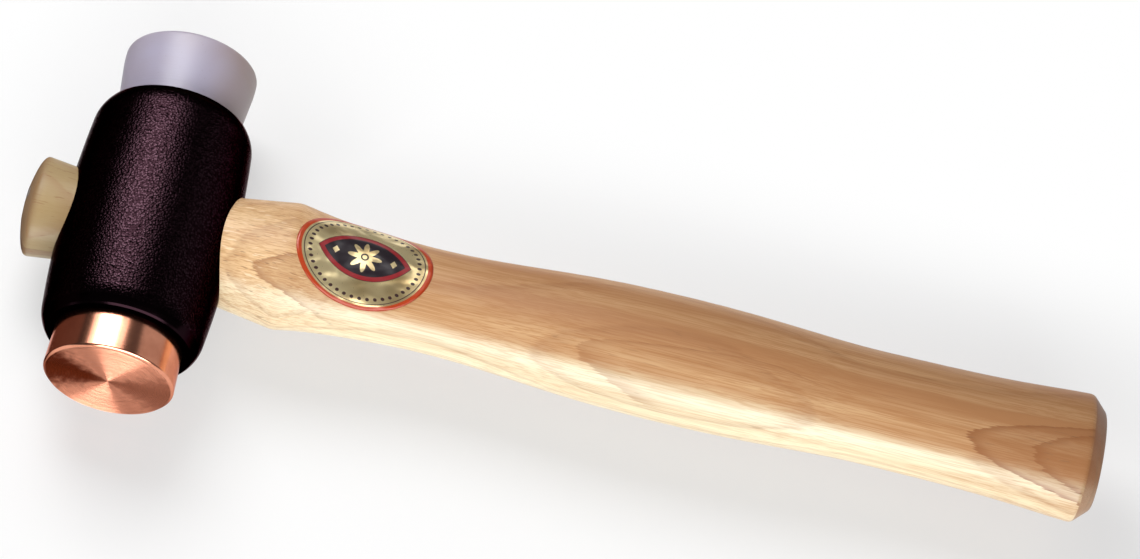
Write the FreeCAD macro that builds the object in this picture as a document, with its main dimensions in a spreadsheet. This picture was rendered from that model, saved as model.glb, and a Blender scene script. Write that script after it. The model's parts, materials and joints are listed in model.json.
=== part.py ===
import FreeCAD, Part
import os

import Sketcher

# A two-faced bench hammer, lying on its side.
# The handle runs along +X, the nylon face looks along +Y, the copper face along -Y, and Z is up.
# Every piece is drawn about the crossing of the barrel's axis with the handle's axis.
# At the end each piece is placed so that the origin lies under the middle of the whole hammer.

# Driving sizes in millimetres. Those whose name ends in share are plain ratios.
# The copper face is a stock size, and the radii of the head follow from it, outwards.
SIZES = {
    # Copper face, turned about Y
    "copper_rim_radius": 19.05,
    "copper_rim_offset": 0.25,
    "copper_reach": 13.0,
    "copper_rim_chamfer": 1.0,
    # Nylon face, slimmer at its socket's mouth than the copper face
    "nylon_mouth_offset": 0.7,
    "nylon_flare": 1.7,
    "nylon_reach": 20.9,
    "nylon_rim_band": 4.0,
    "nylon_rim_round": 1.3,
    # Taper of both faces, and of their sockets in the barrel's two ends
    "plug_root_offset": 0.6,
    "plug_lead": 1.0,
    "socket_depth": 16.5,
    "socket_clearance": 0.05,
    "seat_gap": 0.3,
    # Cast barrel, from the wall round the copper socket's mouth out to the crown
    "barrel_length": 75.2,
    "lip_wall": 2.85,
    "lip_edge_bevel": 0.5,
    "lip_run": 5.5,
    "lip_height": 2.05,
    "lip_round": 10.8,
    "crown_height": 1.55,
    # Oval eye through the barrel, and the handle's stub in it
    "stub_reach": 11.0,
    "stub_round": 4.0,
    "stub_half_width": 15.5,
    "eye_back_half_width": 14.6,
    "eye_waist_place": 8.0,
    "eye_waist_half_width": 13.4,
    "eye_front_half_width": 17.2,
    "eye_oval_share": 0.81,
    # Grip, from the shoulder in front of the head to the butt
    "shoulder_run": 16.2,
    "shoulder_half_width": 19.9,
    "shoulder_oval_share": 0.78,
    "neck_half_width": 16.4,
    "neck_oval_share": 0.72,
    "belly_half_width": 20.0,
    "belly_oval_share": 0.725,
    "waist_half_width": 18.1,
    "waist_oval_share": 0.69,
    "butt_half_width": 20.5,
    "butt_oval_share": 0.69,
    "handle_reach": 285.5,
    "butt_chamfer": 4.8,
    # Wooden wedge in the sawn slot of the stub
    "wood_wedge_depth": 34.0,
    "wood_wedge_thick": 3.6,
    "wood_wedge_tip": 0.8,
    # Steel wedge driven across the wooden one
    "steel_wedge_depth": 22.0,
    "steel_wedge_width": 16.0,
    "steel_wedge_thick": 3.0,
    "steel_wedge_tip": 0.6,
    # Foil transfer on the grip's broad side, held just off the wood
    "foil_back_gap": 1.0,
    "foil_half_length": 20.3,
    "foil_half_width": 13.2,
    "foil_thick": 0.15,
    "foil_gap": 0.3,
    # How far a cutting body runs past the piece it cuts
    "overrun": 2.0,
}

# The stub's domed end. Each section has its place in from the end, as a share of the round,
# and its half width, as a share of the stub's.
STUB_SECTION_SHARES = ((0.0, 0.35), (0.12, 0.55), (0.36, 0.75), (1.0, 1.0))

# The grip's sections. Each lies between two of its named ovals.
# The third value is its place along the grip, the fourth its blend from the first oval to the second.
GRIP_SECTION_SHARES = (
    ("shoulder", "shoulder", 0.0, 0.0),
    ("shoulder", "neck", 0.035, 0.39),
    ("shoulder", "neck", 0.069, 0.66),
    ("shoulder", "neck", 0.107, 0.83),
    ("neck", "neck", 0.161, 0.0),
    ("neck", "belly", 0.230, 0.09),
    ("neck", "belly", 0.307, 0.47),
    ("neck", "belly", 0.395, 0.88),
    ("belly", "belly", 0.471, 0.0),
    ("belly", "waist", 0.560, 0.13),
    ("belly", "waist", 0.655, 0.70),
    ("waist", "waist", 0.760, 0.0),
    ("waist", "butt", 0.860, 0.16),
    ("waist", "butt", 0.930, 0.52),
    ("butt", "butt", 1.0, 0.0),
)

# Turns an oval drawn in XY so that it stands across the handle, with its long axis along Y.
ACROSS_HANDLE = FreeCAD.Rotation(FreeCAD.Vector(1, 1, 1), 120)

# Radii about the barrel's axis, as expressions on the sheet
COPPER_MOUTH_RADIUS = "(Sizes.copper_rim_radius - Sizes.copper_rim_offset)"
COPPER_ROOT_RADIUS = f"({COPPER_MOUTH_RADIUS} - Sizes.plug_root_offset)"
NYLON_MOUTH_RADIUS = f"({COPPER_MOUTH_RADIUS} - Sizes.nylon_mouth_offset)"
NYLON_ROOT_RADIUS = f"({NYLON_MOUTH_RADIUS} - Sizes.plug_root_offset)"
NYLON_RIM_RADIUS = f"({NYLON_MOUTH_RADIUS} + Sizes.nylon_flare)"
LIP_RADIUS = f"({COPPER_MOUTH_RADIUS} + Sizes.socket_clearance + Sizes.lip_wall)"
CROWN_END_RADIUS = f"({LIP_RADIUS} + Sizes.lip_height)"
BARREL_RADIUS = f"({CROWN_END_RADIUS} + Sizes.crown_height)"

# Places that several pieces share: along the barrel, then along the handle
BARREL_END = "(Sizes.barrel_length / 2)"
SOCKET_FLOOR = f"({BARREL_END} - Sizes.socket_depth)"
PLUG_END = f"({SOCKET_FLOOR} + Sizes.seat_gap)"
CROWN_END = f"({BARREL_END} - Sizes.lip_run)"
STUB_END = f"({BARREL_RADIUS} + Sizes.stub_reach)"
SHOULDER = f"({BARREL_RADIUS} + Sizes.shoulder_run)"
GRIP_END = "(Sizes.handle_reach - Sizes.butt_chamfer)"


def make_sheet(doc):
    """Write the driving sizes into the document's sheet, one named cell each."""
    sheet = doc.addObject("Spreadsheet::Sheet", "Sizes")
    for row, (name, value) in enumerate(SIZES.items(), 1):
        sheet.set(f"A{row}", name)
        sheet.set(f"B{row}", str(value))
        sheet.setAlias(f"B{row}", name)
    doc.recompute()


def worked_out(doc, expression):
    """The number that an expression on the sheet gives."""
    value = doc.Sizes.evalExpression(expression)
    return float(getattr(value, "Value", value))


def sketch_on(body, role):
    """A sketch on one of the body's own origin planes."""
    sketch = body.newObject("Sketcher::SketchObject", body.Name + "_outline")
    planes = [feature for feature in body.Origin.OriginFeatures if feature.Role == role]
    sketch.AttachmentSupport = [(planes[0], "")]
    sketch.MapMode = "FlatFace"
    return sketch


def arc_between(start, end, radius):
    """An anticlockwise arc from start to end, so that it bulges to the right of that way."""
    chord = end - start
    rise = radius - (radius ** 2 - (chord.Length / 2) ** 2) ** 0.5
    outward = FreeCAD.Vector(chord.y, -chord.x, 0).normalize()
    return Part.Arc(start, (start + end) / 2 + outward * rise, end)


def hold(sketch, constraint, expression):
    """Add a constraint and bind its value to the sheet."""
    number = sketch.addConstraint(constraint)
    sketch.setExpression(f"Constraints[{number}]", expression)


def outline(sketch, corners, rounds):
    """Draw a closed outline, anticlockwise, and bind its corners and round sides to the sheet.

    Each corner is two expressions. rounds gives the number of a side and that side's radius.
    """
    doc = sketch.Document
    points = [FreeCAD.Vector(worked_out(doc, x), worked_out(doc, y), 0) for x, y in corners]
    following = points[1:] + points[:1]
    for side, (start, end) in enumerate(zip(points, following)):
        if side in rounds:
            edge = arc_between(start, end, worked_out(doc, rounds[side]))
        else:
            edge = Part.LineSegment(start, end)
        sketch.addGeometry(edge, False)
    for side in range(len(points)):
        after = (side + 1) % len(points)
        sketch.addConstraint(Sketcher.Constraint("Coincident", side, 2, after, 1))
    for side, (x, y) in enumerate(corners):
        across = Sketcher.Constraint("DistanceX", -1, 1, side, 1, points[side].x)
        along = Sketcher.Constraint("DistanceY", -1, 1, side, 1, points[side].y)
        if x == "0":
            sketch.addConstraint(Sketcher.Constraint("PointOnObject", side, 1, -2))
        else:
            hold(sketch, across, x)
        hold(sketch, along, y)
    for side, radius in rounds.items():
        hold(sketch, Sketcher.Constraint("Radius", side, worked_out(doc, radius)), radius)


def turned(doc, name, corners, rounds):
    """A body turned about Y from its half outline."""
    body = doc.addObject("PartDesign::Body", name)
    sketch = sketch_on(body, "XY_Plane")
    outline(sketch, corners, rounds)
    turning = body.newObject("PartDesign::Revolution", name + "_turning")
    turning.Profile = sketch
    turning.ReferenceAxis = (sketch, ["V_Axis"])
    turning.Angle = 360
    doc.recompute()
    return body


def wedge_blank(doc, name, role, width):
    """A wedge that enters the stub's end, thick at its outer end and thin at its tip."""
    body = doc.addObject("PartDesign::Body", name + "_blank")
    sketch = sketch_on(body, role)
    outer = f"-({STUB_END} + Sizes.overrun)"
    inner = f"-({STUB_END} - Sizes.{name}_depth)"
    corners = (
        (outer, f"-Sizes.{name}_thick / 2"),
        (inner, f"-Sizes.{name}_tip / 2"),
        (inner, f"Sizes.{name}_tip / 2"),
        (outer, f"Sizes.{name}_thick / 2"),
    )
    outline(sketch, corners, {})
    pad = body.newObject("PartDesign::Pad", name + "_pad")
    pad.Profile = sketch
    pad.SideType = "Symmetric"
    pad.setExpression("Length", width)
    doc.recompute()
    return body


def oval(doc, name, place, half_width, flatness):
    """An oval across the handle, at a place along it."""
    ellipse = doc.addObject("Part::Ellipse", name)
    ellipse.Placement = FreeCAD.Placement(FreeCAD.Vector(), ACROSS_HANDLE)
    ellipse.setExpression("Placement.Base.x", place)
    ellipse.setExpression("MajorRadius", half_width)
    ellipse.setExpression("MinorRadius", flatness)
    return ellipse


def loft(doc, name, sections, straight):
    """A solid through a row of ovals, with straight or smooth sides from one to the next."""
    body = doc.addObject("Part::Loft", name)
    body.Sections = sections
    body.Solid = True
    body.Ruled = straight
    doc.recompute()
    return body


def joined(doc, kind, name, base, tool):
    """A boolean of two bodies: Part::Cut, Part::Common or Part::Fuse."""
    result = doc.addObject(kind, name)
    result.Base = base
    result.Tool = tool
    doc.recompute()
    return result


def eye_oval(doc, name, place, half_width):
    """An oval of the eye's own flatness."""
    return oval(doc, name, place, half_width, f"({half_width}) * Sizes.eye_oval_share")


def shoulder_oval(doc, name):
    """The oval where the straight flare from the head meets the grip."""
    half_width = "Sizes.shoulder_half_width"
    flatness = half_width + " * Sizes.shoulder_oval_share"
    return oval(doc, name, SHOULDER, half_width, flatness)


def make_spigot(doc):
    """The handle's front part: domed stub, the length in the eye, and the flare to the shoulder."""
    sections = []
    for number, (place_share, width_share) in enumerate(STUB_SECTION_SHARES):
        place = f"{place_share} * Sizes.stub_round - {STUB_END}"
        half_width = f"{width_share} * Sizes.stub_half_width"
        sections.append(eye_oval(doc, f"stub_oval_{number}", place, half_width))
    eye_ovals = (
        ("eye_back_oval", f"-{BARREL_RADIUS}", "Sizes.eye_back_half_width"),
        ("eye_waist_oval", "-Sizes.eye_waist_place", "Sizes.eye_waist_half_width"),
        ("eye_front_oval", BARREL_RADIUS, "Sizes.eye_front_half_width"),
    )
    for name, place, half_width in eye_ovals:
        sections.append(eye_oval(doc, name, place, half_width))
    sections.append(shoulder_oval(doc, "flare_end_oval"))
    return loft(doc, "spigot", sections, True)


def make_grip(doc, name, swell):
    """The smooth grip from the shoulder to the butt, grown all round by swell."""
    sections = []
    for number, (first, second, place_share, blend_share) in enumerate(GRIP_SECTION_SHARES):
        keep_share = 1 - blend_share
        first_width = f"Sizes.{first}_half_width * {keep_share}"
        second_width = f"Sizes.{second}_half_width * {blend_share}"
        place = f"{SHOULDER} + {place_share} * ({GRIP_END} - {SHOULDER})"
        half_width = f"{first_width} + {second_width} + {swell}"
        half_depth = (
            f"{first_width} * Sizes.{first}_oval_share"
            f" + {second_width} * Sizes.{second}_oval_share + {swell}"
        )
        sections.append(oval(doc, f"{name}_oval_{number}", place, half_width, half_depth))
    return loft(doc, name, sections, False)


def make_butt(doc):
    """The bevelled end of the grip."""
    half_width = "Sizes.butt_half_width"
    half_depth = "Sizes.butt_half_width * Sizes.butt_oval_share"
    inner = oval(doc, "butt_inner_oval", GRIP_END, half_width, half_depth)
    outer = oval(
        doc,
        "butt_outer_oval",
        "Sizes.handle_reach",
        half_width + " - Sizes.butt_chamfer",
        half_depth + " - Sizes.butt_chamfer",
    )
    return loft(doc, "butt", [inner, outer], True)


def make_head(doc, spigot):
    """The cast barrel: crowned outside, a tapered socket in each end, and the handle's eye."""
    nylon_floor = f"{NYLON_ROOT_RADIUS} + Sizes.socket_clearance"
    nylon_mouth = f"{NYLON_MOUTH_RADIUS} + Sizes.socket_clearance"
    copper_floor = f"{COPPER_ROOT_RADIUS} + Sizes.socket_clearance"
    copper_mouth = f"{COPPER_MOUTH_RADIUS} + Sizes.socket_clearance"
    ring_radius = f"{LIP_RADIUS} - Sizes.lip_edge_bevel"
    lip_end = f"({BARREL_END} - Sizes.lip_edge_bevel)"
    corners = (
        ("0", f"-{SOCKET_FLOOR}"),
        (copper_floor, f"-{SOCKET_FLOOR}"),
        (copper_mouth, f"-{BARREL_END}"),
        (ring_radius, f"-{BARREL_END}"),
        (LIP_RADIUS, f"-{lip_end}"),
        (CROWN_END_RADIUS, f"-{CROWN_END}"),
        (CROWN_END_RADIUS, CROWN_END),
        (LIP_RADIUS, lip_end),
        (ring_radius, BARREL_END),
        (nylon_mouth, BARREL_END),
        (nylon_floor, SOCKET_FLOOR),
        ("0", SOCKET_FLOOR),
    )
    crown_round = f"({CROWN_END}^2 + Sizes.crown_height^2) / (2 * Sizes.crown_height)"
    rounds = {4: "Sizes.lip_round", 5: crown_round, 6: "Sizes.lip_round"}
    barrel = turned(doc, "barrel", corners, rounds)
    return joined(doc, "Part::Cut", "head_casting", barrel, spigot)


def make_copper_face(doc):
    """The copper face: a tapered plug with a turned, bevelled striking end."""
    striking_end = f"({BARREL_END} + Sizes.copper_reach)"
    corners = (
        ("0", f"-{striking_end}"),
        ("Sizes.copper_rim_radius - Sizes.copper_rim_chamfer", f"-{striking_end}"),
        ("Sizes.copper_rim_radius", f"-({striking_end} - Sizes.copper_rim_chamfer)"),
        (COPPER_MOUTH_RADIUS, f"-{BARREL_END}"),
        (COPPER_ROOT_RADIUS, f"-({PLUG_END} + Sizes.plug_lead)"),
        (f"{COPPER_ROOT_RADIUS} - Sizes.plug_lead", f"-{PLUG_END}"),
        ("0", f"-{PLUG_END}"),
    )
    return turned(doc, "copper_face", corners, {})


def make_nylon_face(doc):
    """The nylon face: a tapered plug that flares outside the head to a rounded rim."""
    striking_end = f"({BARREL_END} + Sizes.nylon_reach)"
    rim_round = "Sizes.nylon_rim_round"
    corners = (
        ("0", PLUG_END),
        (f"{NYLON_ROOT_RADIUS} - Sizes.plug_lead", PLUG_END),
        (NYLON_ROOT_RADIUS, f"{PLUG_END} + Sizes.plug_lead"),
        (NYLON_MOUTH_RADIUS, BARREL_END),
        (NYLON_RIM_RADIUS, f"{striking_end} - Sizes.nylon_rim_band"),
        (NYLON_RIM_RADIUS, f"{striking_end} - {rim_round}"),
        (f"{NYLON_RIM_RADIUS} - {rim_round}", striking_end),
        ("0", striking_end),
    )
    return turned(doc, "nylon_face", corners, {5: rim_round})


def make_handle(doc, spigot, grip, wood_blank, steel_blank):
    """The wooden handle, with the sawn slot and the cut that its two wedges fill."""
    whole = doc.addObject("Part::MultiFuse", "handle_whole")
    whole.Shapes = [spigot, grip, make_butt(doc)]
    doc.recompute()
    slotted = joined(doc, "Part::Cut", "handle_slotted", whole, wood_blank)
    return joined(doc, "Part::Cut", "handle", slotted, steel_blank)


def make_wedges(doc, spigot, wood_blank, steel_blank):
    """The two wedges, trimmed flush with the stub."""
    filling = joined(doc, "Part::Common", "wood_wedge_filling", wood_blank, spigot)
    wood_wedge = joined(doc, "Part::Cut", "wood_wedge", filling, steel_blank)
    steel_wedge = joined(doc, "Part::Common", "steel_wedge", steel_blank, spigot)
    return wood_wedge, steel_wedge


def make_foil(doc):
    """The foil transfer: a thin oval skin that lies on the grip's broad side."""
    under_foil = make_grip(doc, "under_foil", "Sizes.foil_gap")
    over_foil = make_grip(doc, "over_foil", "Sizes.foil_gap + Sizes.foil_thick")
    place = f"{SHOULDER} + Sizes.foil_back_gap + Sizes.foil_half_length"
    edge = doc.addObject("Part::Ellipse", "foil_edge")
    edge.setExpression("Placement.Base.x", place)
    edge.setExpression("MajorRadius", "Sizes.foil_half_length")
    edge.setExpression("MinorRadius", "Sizes.foil_half_width")
    column = doc.addObject("Part::Extrusion", "foil_column")
    column.Base = edge
    column.Solid = True
    column.DirMode = "Custom"
    column.Dir = FreeCAD.Vector(0, 0, 1)
    column.setExpression("LengthFwd", "Sizes.shoulder_half_width + Sizes.overrun")
    doc.recompute()
    patch = joined(doc, "Part::Common", "foil_patch", over_foil, column)
    return joined(doc, "Part::Cut", "foil_label", patch, under_foil)


def place(piece):
    """Move a piece so that the origin lies under the middle of the whole hammer."""
    piece.setExpression("Placement.Base.x", f"({STUB_END} - Sizes.handle_reach) / 2")
    piece.setExpression("Placement.Base.y", "(Sizes.copper_reach - Sizes.nylon_reach) / 2")
    piece.setExpression("Placement.Base.z", BARREL_RADIUS)


def check(doc, pieces):
    """Stop if any object failed or any piece is not one sound solid."""
    for item in doc.Objects:
        if "Invalid" in item.State or "Error" in item.State:
            raise RuntimeError(f"{item.Name} failed: {item.State}")
    for piece in pieces:
        shape = piece.Shape
        if shape.isNull() or not shape.isValid() or len(shape.Solids) != 1:
            raise RuntimeError(f"{piece.Label} is not one sound solid")


def main():
    """Build every piece, check it and write it to the parts folder."""
    doc = FreeCAD.newDocument("hammer")
    make_sheet(doc)
    spigot = make_spigot(doc)
    grip = make_grip(doc, "grip", "0")
    wood_width = "2 * Sizes.shoulder_half_width"
    wood_blank = wedge_blank(doc, "wood_wedge", "XZ_Plane", wood_width)
    steel_blank = wedge_blank(doc, "steel_wedge", "XY_Plane", "Sizes.steel_wedge_width")
    pieces = [
        make_head(doc, spigot),
        make_copper_face(doc),
        make_nylon_face(doc),
        make_handle(doc, spigot, grip, wood_blank, steel_blank),
        *make_wedges(doc, spigot, wood_blank, steel_blank),
        make_foil(doc),
    ]
    for piece in pieces:
        piece.Label = piece.Name
        place(piece)
    doc.recompute()
    check(doc, pieces)
    os.makedirs("parts", exist_ok=True)
    for piece in pieces:
        piece.Shape.exportStep(f"parts/{piece.Label}.step")
        print(piece.Label, round(piece.Shape.Volume), "mm3", piece.Shape.BoundBox)


main()
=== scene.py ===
"""Looks of a two-faced bench hammer that lies on a pale studio table.

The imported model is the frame. The cast head keeps its solid and is dressed with enamel. The turned faces,
the handle with its two wedges and the foil label are finer meshes that stand for their solids.
Lengths are in metres, in the frame's own axes: +X along the handle, +Y towards the nylon face, Z up.
"""

import json
import logging
import math
from dataclasses import dataclass, field
from enum import Enum
from typing import Callable, Dict, Iterable, List, Optional, Sequence, Tuple, Union

import bmesh
import bpy
from mathutils import Matrix, Vector
from mathutils.bvhtree import BVHTree

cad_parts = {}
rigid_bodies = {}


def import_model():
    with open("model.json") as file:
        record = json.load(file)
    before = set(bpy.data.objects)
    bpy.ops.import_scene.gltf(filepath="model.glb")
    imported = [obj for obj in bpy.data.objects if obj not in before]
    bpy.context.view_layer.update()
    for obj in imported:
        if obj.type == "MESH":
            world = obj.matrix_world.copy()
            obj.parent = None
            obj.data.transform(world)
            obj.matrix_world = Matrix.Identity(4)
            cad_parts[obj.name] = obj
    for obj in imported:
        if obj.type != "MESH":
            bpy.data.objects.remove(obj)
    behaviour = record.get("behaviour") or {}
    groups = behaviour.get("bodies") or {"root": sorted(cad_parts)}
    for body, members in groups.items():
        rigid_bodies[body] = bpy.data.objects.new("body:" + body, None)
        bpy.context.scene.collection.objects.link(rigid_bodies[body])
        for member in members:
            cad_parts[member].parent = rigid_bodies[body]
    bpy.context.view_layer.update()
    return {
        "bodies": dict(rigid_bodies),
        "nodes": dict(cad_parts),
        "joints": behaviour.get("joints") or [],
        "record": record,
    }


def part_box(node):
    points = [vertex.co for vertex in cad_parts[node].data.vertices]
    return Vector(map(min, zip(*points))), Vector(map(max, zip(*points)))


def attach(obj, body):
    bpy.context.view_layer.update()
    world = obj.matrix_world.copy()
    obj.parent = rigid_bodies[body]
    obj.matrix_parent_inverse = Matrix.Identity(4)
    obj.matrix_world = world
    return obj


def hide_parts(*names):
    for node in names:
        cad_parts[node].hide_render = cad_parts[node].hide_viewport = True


LOG = logging.getLogger("hammer")

MM = 0.001
FULL_TURN = 2 * math.pi
# How far from the handle's axis a ray starts that looks for the wood
RAY_REACH = 60 * MM
# How far a wedge runs out past the stub before it is trimmed
OVERRUN = 2 * MM

Triple = Tuple[float, float, float]
Colour = Triple
Station = Tuple[float, float]


class Joining(Enum):
    """How one closed mesh works on another."""

    CUT = "DIFFERENCE"
    SHARED = "INTERSECT"
    JOINED = "UNION"


def operator(operation: str, reflected: bool = False) -> Callable[..., "Signal"]:
    """Write a method of Signal that adds one Math node.

    Args:
        operation: The node's operation.
        reflected: Whether the other value comes first, as in 1 - mask.

    Returns:
        The method.
    """

    def method(self: "Signal", *others: "Value") -> "Signal":
        """Add the node to the recipe."""
        values = (*others, self) if reflected else (self, *others)
        return self.recipe.node("ShaderNodeMath", {"operation": operation}, dict(enumerate(values)))

    return method


class Signal:
    """One value of a material. Plain arithmetic on it adds the Math nodes."""

    __add__ = operator("ADD")
    __radd__ = operator("ADD", reflected=True)
    __sub__ = operator("SUBTRACT")
    __rsub__ = operator("SUBTRACT", reflected=True)
    __mul__ = operator("MULTIPLY")
    __rmul__ = operator("MULTIPLY", reflected=True)
    __truediv__ = operator("DIVIDE")
    __pow__ = operator("POWER")
    absolute = operator("ABSOLUTE")
    fraction = operator("FRACT")
    sine = operator("SINE")
    cosine = operator("COSINE")
    angle = operator("ARCTAN2")
    larger = operator("MAXIMUM")
    smaller = operator("MINIMUM")

    def __init__(self, recipe: "Recipe", socket: bpy.types.NodeSocket) -> None:
        """Keep the socket and the recipe that it belongs to."""
        self.recipe = recipe
        self.socket = socket

    def hypotenuse(self, other: "Signal") -> "Signal":
        """The long side of a right triangle whose short sides are this value and another."""
        return (self * self + other * other) ** 0.5

    def rise(self, start: float, end: float) -> "Signal":
        """A smooth step from 0 at start to 1 at end, which may lie below start.

        Args:
            start: The value at which the step begins.
            end: The value at which it is complete.

        Returns:
            The step, from 0 to 1.
        """
        low, high = sorted((start, end))
        first, last = (0.0, 1.0) if start < end else (1.0, 0.0)
        inputs = {"Value": self, "From Min": low, "From Max": high, "To Min": first, "To Max": last}
        return self.recipe.node("ShaderNodeMapRange", {"interpolation_type": "SMOOTHSTEP"}, inputs)

    def within(self, limit: float, soft: float) -> "Signal":
        """1 where this value is under a limit, with an edge that is soft by that much each way."""
        return self.rise(limit + soft, limit - soft)


Value = Union[float, Signal]
Tint = Union[Colour, Signal]


class Recipe:
    """A material in the making: its node tree, its shader and the coordinates of the piece."""

    def __init__(self, name: str) -> None:
        """Start a material with one principled shader.

        Args:
            name: The material's name.
        """
        self.material = bpy.data.materials.new(name)
        self.material.use_nodes = True
        self.tree = self.material.node_tree
        self.tree.nodes.clear()
        self.shader = self.tree.nodes.new("ShaderNodeBsdfPrincipled")
        self.output = self.tree.nodes.new("ShaderNodeOutputMaterial")
        self.feed(self.output.inputs["Surface"], Signal(self, self.shader.outputs[0]))
        self.place = self.node("ShaderNodeTexCoord", {}, {}, "Object")

    def feed(self, socket: bpy.types.NodeSocket, value: object) -> None:
        """Link a Signal to a socket, or set the socket to a plain value.

        Args:
            socket: The socket.
            value: What it gets.
        """
        if isinstance(value, Signal):
            self.tree.links.new(value.socket, socket)
        else:
            socket.default_value = value

    def node(
        self,
        kind: str,
        settings: Dict[str, object],
        inputs: Dict[Union[int, str], object],
        output: Union[int, str] = 0,
    ) -> Signal:
        """Add any node, set it up and feed its sockets.

        Args:
            kind: The node's type.
            settings: The node's own properties, which are set first.
            inputs: A value, colour or Signal for each named or numbered socket.
            output: The socket that the returned Signal reads.

        Returns:
            The node's output.
        """
        made = self.tree.nodes.new(kind)
        for key, value in settings.items():
            setattr(made, key, value)
        for key, value in inputs.items():
            self.feed(made.inputs[key], value)
        return Signal(self, made.outputs[output])

    def layered(self, colour: Tint, *layers: Tuple[Value, Tint]) -> Tint:
        """Mix colours over each other.

        Args:
            colour: The lowest colour.
            layers: The share, from 0 to 1, and the colour of each layer, from the lowest up.

        Returns:
            The mixed colour.
        """
        for share, over in layers:
            tints = [tint if isinstance(tint, Signal) else (*tint, 1.0) for tint in (colour, over)]
            inputs = {0: share, 6: tints[0], 7: tints[1]}
            colour = self.node("ShaderNodeMix", {"data_type": "RGBA"}, inputs, 2)
        return colour

    def axes(self, vector: Signal) -> List[Signal]:
        """The three parts of a vector."""
        outputs = self.node("ShaderNodeSeparateXYZ", {}, {0: vector}).socket.node.outputs
        return [Signal(self, output) for output in outputs]

    def vector(self, x: Value, y: Value, z: Value) -> Signal:
        """A vector from its three parts."""
        return self.node("ShaderNodeCombineXYZ", {}, {0: x, 1: y, 2: z})

    def moved(self, vector: Signal, shift: object) -> Signal:
        """A vector with another added."""
        return self.node("ShaderNodeVectorMath", {"operation": "ADD"}, {0: vector, 1: shift})

    def stretched(self, vector: Signal, scale: Triple) -> Signal:
        """A vector scaled along each axis."""
        return self.node("ShaderNodeVectorMath", {"operation": "MULTIPLY"}, {0: vector, 1: scale})

    def unit(self, vector: Signal) -> Signal:
        """A vector brought to a length of 1."""
        return self.node("ShaderNodeVectorMath", {"operation": "NORMALIZE"}, {0: vector})

    def noise(self, vector: Signal, scale: float, detail: float = 2.0, grit: float = 0.5) -> Signal:
        """Smooth noise between 0 and 1.

        Args:
            vector: Where it is read.
            scale: How many cells lie along one unit.
            detail: How many finer layers it has.
            grit: How strong the finer layers are.

        Returns:
            The noise.
        """
        inputs = {"Vector": vector, "Scale": scale, "Detail": detail, "Roughness": grit}
        return self.node("ShaderNodeTexNoise", {}, inputs)

    def drawn(self, vector: Signal, scale: Triple, detail: float = 2.0, grit: float = 0.5) -> Signal:
        """Noise with its own number of cells to the metre along each axis."""
        return self.noise(self.stretched(vector, scale), 1.0, detail, grit)

    def cells(self, vector: Signal, scale: float) -> Signal:
        """Distance to the nearest of many scattered points."""
        return self.node("ShaderNodeTexVoronoi", {}, {"Vector": vector, "Scale": scale})

    def leaning(self, way: Signal, slope: Value) -> Signal:
        """The surface's normal, tilted by a slope.

        Args:
            way: The direction in which it tilts.
            slope: How far it tilts.

        Returns:
            The tilted normal.
        """
        plain = self.node("ShaderNodeNewGeometry", {}, {}, "Normal")
        tilt = self.node("ShaderNodeVectorMath", {"operation": "SCALE"}, {"Vector": way, "Scale": slope})
        return self.unit(self.moved(plain, tilt))

    def bump(self, height: Signal, depth: float, under: Optional[Signal] = None) -> Signal:
        """A normal that follows a height.

        Args:
            height: The height, from 0 to 1.
            depth: How deep a height of 1 is.
            under: The normal that it lies on, where there is one.

        Returns:
            The normal.
        """
        inputs: Dict[Union[int, str], object] = {"Strength": 1.0, "Distance": depth, "Height": height}
        if under is not None:
            inputs["Normal"] = under
        return self.node("ShaderNodeBump", {}, inputs)

    def finish(self, **sockets: object) -> bpy.types.Material:
        """Feed the shader and hand the material over.

        Args:
            sockets: A value or Signal for each shader socket, named in lower case with underscores.

        Returns:
            The finished material.
        """
        named = {socket.name.lower().replace(" ", "_"): socket for socket in self.shader.inputs}
        for key, value in sockets.items():
            self.feed(named[key], value)
        return self.material


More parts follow.
